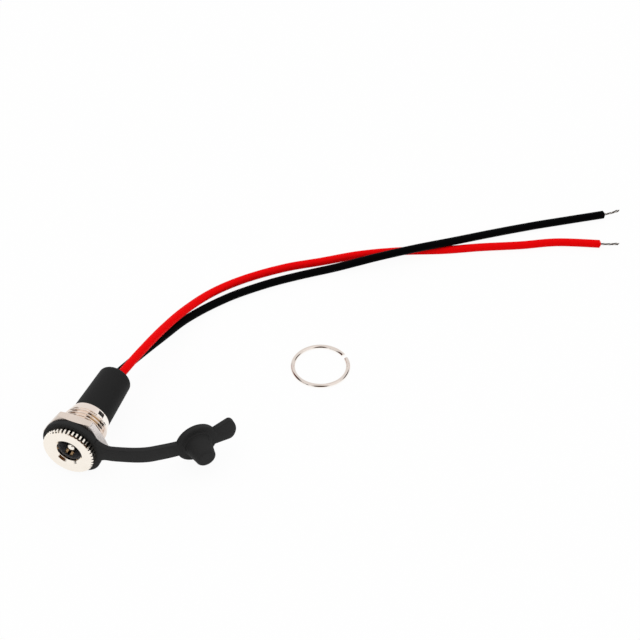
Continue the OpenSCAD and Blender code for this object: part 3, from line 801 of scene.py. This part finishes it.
def per_mm(size_mm):
    """Texture scale at which a pattern repeats about every size_mm."""
    return 1 / (size_mm * MM)


def clouded(tree, place, light, dark, rough, cloud_mm, detail, uneven):
    """A cloud, the tone between two colours that follows it, and the roughness that it moves up and
    down by the share uneven, all as sockets."""
    cloud = add(tree, "ShaderNodeTexNoise", {
        "Vector": place, "Scale": per_mm(cloud_mm), "Detail": detail}).outputs["Fac"]
    tone = add(tree, "ShaderNodeMix", {
        FACTOR: cloud, FIRST: linear(dark), SECOND: linear(light)}, data_type="RGBA")
    gloss = add(tree, "ShaderNodeMapRange", {
        "Value": cloud, "To Min": rough * (1 - uneven), "To Max": rough * (1 + uneven)})
    return cloud, tone.outputs[MIXED], gloss.outputs["Result"]


def finish(tree, **inputs):
    """The Principled shader with those inputs, spaces in socket names written as _, joined to the
    output."""
    sockets = {key.replace("_", " "): value for key, value in inputs.items()}
    shader = add(tree, "ShaderNodeBsdfPrincipled", sockets)
    add(tree, "ShaderNodeOutputMaterial", {"Surface": shader.outputs["BSDF"]})


def coat(piece, material):
    """Gives a piece this finish and no other."""
    piece.data.materials.clear()
    piece.data.materials.append(material)
    print(piece.name, "is finished as", material.name)


# %% [markdown]
# ### Bright nickel
# Nickel plate over turned brass is a warm white mirror that is never perfect: the tool leaves fine
# rings round the axis, and the plate clouds a little from place to place. The rings are a Wave
# texture round Y, which repeats every pi / (10 scale). Real turning marks are some hundredths of
# a millimetre apart; these are drawn 0.15 mm apart, and 0.3 mm on the ring's wire, so that they
# show.

# %% Nickel


def nickel(name, light, dark, rough, ring_mm=0.15, ring_axis="Y", ring_depth=0.15, marks=()):
    """Plated metal: clouded tone and gloss, and fine rings as bump. Each mark is a colour and its
    limits. A limit is a measure in mm, or a turn from which degrees are counted, with the value
    where the mark starts and the one where it is full."""
    material, tree, place = new_material(name)
    _, tone, gloss = clouded(tree, place, light, dark, rough, 2.5, 3.0, 0.3)
    in_mm = add(tree, "ShaderNodeVectorMath", {0: place, "Scale": 1 / MM},
                operation="SCALE").outputs[0]
    x, y, z = add(tree, "ShaderNodeSeparateXYZ", {0: in_mm}).outputs
    away = add(tree, "ShaderNodeVectorMath", {0: in_mm, 1: (1, 0, 1)}, operation="MULTIPLY")
    r = add(tree, "ShaderNodeVectorMath", {0: away.outputs[0]}, operation="LENGTH")
    turn = add(tree, "ShaderNodeMath", {0: z, 1: x}, operation="ARCTAN2")
    turn_deg = add(tree, "ShaderNodeMath", {0: turn.outputs[0]}, operation="DEGREES")
    measures = {"r": r.outputs["Value"], "y": y, "z": z}
    for colour, limits in marks:
        mask = 1.0
        for measure, start, full in limits:
            if measure not in measures:
                off = add(tree, "ShaderNodeMath", {0: turn_deg.outputs[0], 1: measure},
                          operation="SUBTRACT")
                off = add(tree, "ShaderNodeMath", {0: off.outputs[0]}, operation="ABSOLUTE")
                measures[measure] = off.outputs[0]
            share = add(tree, "ShaderNodeMapRange", {
                "Value": measures[measure], "From Min": start, "From Max": full})
            mask = add(tree, "ShaderNodeMath", {0: mask, 1: share.outputs["Result"]},
                       operation="MULTIPLY").outputs[0]
        tone = add(tree, "ShaderNodeMix", {FACTOR: mask, FIRST: tone, SECOND: linear(colour)},
                   data_type="RGBA").outputs[MIXED]
    rings = add(tree, "ShaderNodeTexWave", {
        "Vector": place, "Scale": per_mm(ring_mm) * np.pi / 10, "Distortion": 0.6, "Detail": 1.0},
        wave_type="RINGS", rings_direction=ring_axis)
    bump = add(tree, "ShaderNodeBump", {
        "Height": rings.outputs["Fac"], "Strength": ring_depth, "Distance": 0.004 * MM})
    finish(tree, Base_Color=tone, Metallic=1.0, Roughness=gloss, Normal=bump.outputs["Normal"])
    return material


barrel = [("y", 0.0, 1.0)]
thread = barrel + [("y", thread_stop, cone_y)]
# Painted highlight on the right of the tapered end
collar_painted_highlight = [("y", cone_y, thread_stop), (10, 55, 30)]
# Painted shade in the knurl's grooves near the face, strongest at the upper right
knurl_groove_shade = [("r", 6.3, 6.5), ("r", 6.98, 6.76), ("y", face_y + 0.2, face_y + 0.45), ("y", 0.1, 0.0),
          (40, 80, 60)]
# Painted brown reflection on the teeth's front edge at the upper right
tooth_front_reflection = [("r", 6.66, 6.74), ("y", face_y + 0.34, face_y + 0.26), (58, 30, 22)]
# The barrel is a darker tone than the flange, and the right of its tapered end carries a painted
# highlight. Painted shade darkens the knurl's grooves, and the teeth carry a painted brown
# reflection at the front edge of the upper right
shell_marks = [("#e6d9cf", barrel), ("#fbf5ee", collar_painted_highlight), ("#2c251e", knurl_groove_shade),
               ("#7a5434", tooth_front_reflection)]
# The thread's roots carry painted shade and painted reflections in places, golden in a broad
# band and dark brown in narrow bars: the middle and half width in degrees, the radii where the
# painted shade starts and is full, and its colour
root_shade_fade_deg = 4
for middle_deg, half_deg, start_r, full_r, colour in (
        (50, 20, 5.9, 5.4, "#b8985a"), (70, 3, 5.95, 5.5, "#4a3018"),
        (29, 4, 5.95, 5.5, "#2a2010"), (115, 5, 6.0, 5.6, "#6a4420")):
    place_deg = (middle_deg, half_deg + root_shade_fade_deg, half_deg)
    shell_marks.append((colour, thread + [("r", start_r, full_r), place_deg]))
# One flat of the nut carries a painted highlight, and the ring's lower sides carry a painted
# highlight that leaves its flat top duller
nut_flat_highlight = [("#fff7f3", [(27, 31, 29)])]
# Painted highlight on the ring's sides below 0.4 mm, fading out by 0.6 mm
ring_side_highlight = [("#fdf9f4", [("z", floor_z / MM + 0.6, floor_z / MM + 0.4)])]

coat(plated_shell, nickel("nickel_on_turned_brass", "#fcf5eb", "#f4ebdf", 0.08, marks=shell_marks))
coat(plated_nut, nickel("nickel_on_bar_brass", "#dccfc5", "#d0c2b7", 0.3, marks=nut_flat_highlight))
coat(plug_pin, nickel("nickel_on_pin", "#fbf7f0", "#f1ebe0", 0.08))
coat(split_ring, nickel("nickel_on_spring_wire", "#e4dad2", "#d8ccc4", 0.05, ring_mm=0.3,
                        ring_axis="Z", ring_depth=0.05, marks=ring_side_highlight))

# %% [markdown]
# ### Rubber, boot and jackets
# The cap is moulded rubber: nearly black, matt, with a fine grain from the mould. The boot is satin
# PVC with faint streaks along its length, and the jackets are extruded PVC with a soft gloss.

# %% Soft plastics


def plastic(name, light, dark, rough, grain_mm, grain_depth, stretch=(1, 1, 1), specular=0.3):
    """Moulded or extruded plastic: clouded tone and gloss, and a fine grain as bump, stretched if
    extruded."""
    material, tree, place = new_material(name)
    _, tone, gloss = clouded(tree, place, light, dark, rough, 3, 4.0, 0.15)
    lay = add(tree, "ShaderNodeMapping", {"Vector": place, "Scale": stretch})
    grain = add(tree, "ShaderNodeTexNoise", {
        "Vector": lay.outputs["Vector"], "Scale": per_mm(grain_mm), "Detail": 2.0})
    bump = add(tree, "ShaderNodeBump", {
        "Height": grain.outputs["Fac"], "Strength": 0.4, "Distance": grain_depth * MM})
    finish(tree, Base_Color=tone, Roughness=gloss, IOR=1.5, Specular_IOR_Level=specular,
           Normal=bump.outputs["Normal"])
    return material


coat(rubber_cap, plastic("moulded_black_rubber", "#262626", "#1e1e1e", 0.7, 0.25, 0.01,
                         specular=0.2))
coat(boot_tube, plastic("satin_black_boot", "#232323", "#1d1d1d", 0.6, 0.3, 0.01, (1, 0.15, 1),
                        specular=0.08))
coat(red_lead, plastic("extruded_red_pvc", "#ee0306", "#e60003", 0.5, 0.4, 0.002, specular=0.03))
coat(black_lead, plastic("extruded_black_pvc", "#040405", "#010102", 0.5, 0.4, 0.002,
                         specular=0.02))

# %% [markdown]
# ### Strands, contacts and lining
# The strands are tinned copper, grey and uneven. Inside, the lining is black moulded nylon, written
# mid grey as painted light that lifts the shade deep in the socket. The leaf contact is bronze
# strip, and tag and solder are tin. These nodes keep the frame's own shapes.

# %% Inner finishes


def drawn_metal(name, light, dark, rough, cloud_mm):
    """Tinned or rolled metal: a cloud that moves tone and gloss and dents the surface a little.
    Where the attribute that marks painted shade on the strands is 1, the metal is painted nearly
    black."""
    material, tree, place = new_material(name)
    cloud, tone, gloss = clouded(tree, place, light, dark, rough, cloud_mm, 4.0, 0.4)
    strand_shade = add(tree, "ShaderNodeAttribute", attribute_name="strand_shade").outputs["Fac"]
    # Painted shade on the marked strands
    tone = add(tree, "ShaderNodeMix", {FACTOR: strand_shade, FIRST: tone, SECOND: linear("#2a2320")},
               data_type="RGBA").outputs[MIXED]
    bump = add(tree, "ShaderNodeBump", {"Height": cloud, "Strength": 0.3, "Distance": 0.01 * MM})
    finish(tree, Base_Color=tone, Metallic=1.0, Roughness=gloss, Normal=bump.outputs["Normal"])
    return material


tinned_copper = drawn_metal("tinned_copper_strand", "#dcd6d0", "#8a827c", 0.3, 0.6)
for bare in (red_strands, black_strands):
    coat(bare, tinned_copper)

inner_finish = {
    # The nylon is written mid grey: painted light that lifts the shade deep in the socket
    "insulator": plastic("black_nylon_painted_grey", "#545457", "#48484b", 0.45, 0.2, 0.005,
                         specular=0.12),
    "sleeve_spring": drawn_metal("rolled_bronze_strip", "#f0d2a6", "#b08c62", 0.35, 0.8),
    "pin_tag": drawn_metal("tinned_brass_tag", "#d8d2c2", "#a89c80", 0.35, 0.8),
    "pin_solder": drawn_metal("soft_solder", "#cfcfd2", "#9a9a9f", 0.3, 0.7),
    "sleeve_solder": drawn_metal("soft_solder_black_lead", "#cfcfd2", "#9a9a9f", 0.3, 0.7),
    "red_core": tinned_copper,
    "black_core": tinned_copper}
for node, material in inner_finish.items():
    coat(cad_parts[node], material)

# %% [markdown]
# ## Floor and light
# The jack lies on a white table in a light tent. The floor shows its own white to the camera and in
# reflections, through Light Path, and a small share of real shading keeps the soft shadow under the
# part.

# %% Floor
floor_half, shadow_share = 1.5, 0.06
floor_corners = [(x * floor_half, y * floor_half, floor_z)
                 for x, y in ((-1, -1), (1, -1), (1, 1), (-1, 1))]
floor_mesh = bpy.data.meshes.new("floor")
floor_mesh.from_pydata(floor_corners, [], [(0, 1, 2, 3)])
floor = put("floor", floor_mesh)


def seen_directly(tree):
    """1 for camera, glossy and transmission rays, and 0 for the rest."""
    rays = add(tree, "ShaderNodeLightPath").outputs
    both = add(tree, "ShaderNodeMath", {0: rays["Is Camera Ray"], 1: rays["Is Glossy Ray"]},
               operation="MAXIMUM")
    every = add(tree, "ShaderNodeMath", {0: both.outputs[0], 1: rays["Is Transmission Ray"]},
                operation="MAXIMUM")
    return every.outputs[0]


paper = bpy.data.materials.new("white_table_paper")
tree = empty_tree(paper)
white_share = add(tree, "ShaderNodeMath", {0: seen_directly(tree), 1: 1 - shadow_share},
                  operation="MULTIPLY")
matt = add(tree, "ShaderNodeBsdfDiffuse", {"Color": linear("#f4f4f4")})
glow = add(tree, "ShaderNodeEmission", {"Color": linear("#ffffff"), "Strength": 1.0})
both = add(tree, "ShaderNodeMixShader", {
    0: white_share.outputs[0], 1: matt.outputs[0], 2: glow.outputs[0]})
add(tree, "ShaderNodeOutputMaterial", {"Surface": both.outputs[0]})
coat(floor, paper)

# %% [markdown]
# ### The light tent
# The tent is white all round, apart from three dark patches: its open front, where the camera looks
# in, the gap at its left and a dark corner behind on the right. Bright metal shows what stands
# round it, so without these it would have no dark lines at all and would look like white plastic. A
# direction is in a patch when it is near enough to the patch's middle, which is given as the angle
# from +X towards +Y and the angle above the table; counting the height more than once makes a patch
# flatter.

# %% World and lamps
# Middle of a patch, how often its height counts, where its full shade and its soft edge end, shade
patches = ((-68, 14, 1.0, 17, 33, "#4a2e15"),
           (-160, 10, 1.0, 13, 28, "#1c140e"),
           (32, 5, 1.6, 12, 26, "#0c0c0c"))
world = bpy.data.worlds.new("light_tent")
bpy.context.scene.world = world
tree = empty_tree(world)
direction = add(tree, "ShaderNodeTexCoord").outputs["Generated"]
sky = linear("#ffffff")
for side_deg, rise_deg, height_count, full_deg, edge_deg, shade in patches:
    a, b = np.radians((side_deg, rise_deg))
    towards = (np.cos(b) * np.cos(a), np.cos(b) * np.sin(a), np.sin(b))
    off = add(tree, "ShaderNodeVectorMath", {0: direction, 1: towards}, operation="SUBTRACT")
    oval = add(tree, "ShaderNodeVectorMath", {0: off.outputs[0], 1: (1, 1, height_count)},
               operation="MULTIPLY")
    far = add(tree, "ShaderNodeVectorMath", {0: oval.outputs[0]}, operation="LENGTH")
    edge, full = 2 * np.sin(np.radians((edge_deg, full_deg)) / 2)
    near = add(tree, "ShaderNodeMapRange", {
        "Value": far.outputs["Value"], "From Min": edge, "From Max": full},
        interpolation_type="SMOOTHSTEP")
    sky = add(tree, "ShaderNodeMix", {
        FACTOR: near.outputs["Result"], FIRST: sky, SECOND: linear(shade)},
        data_type="RGBA").outputs[MIXED]
tent = add(tree, "ShaderNodeBackground", {"Color": sky, "Strength": 1.0})
add(tree, "ShaderNodeOutputWorld", {"Surface": tent.outputs[0]})

lamp_aim, lamp_size = (0.04, 0.06, 0.0), 0.8
for name, place, power in (("key", (-0.2, 0.1, 0.8), 0.5), ("fill", (0.6, -0.2, 0.5), 0.3)):
    lamp = bpy.data.lights.new(name, "AREA")
    lamp.size, lamp.energy = lamp_size, power
    put(name, lamp, place, lamp_aim)
    print(name, "lamp of", power, "watts")
bpy.context.scene.view_settings.view_transform = "Standard"
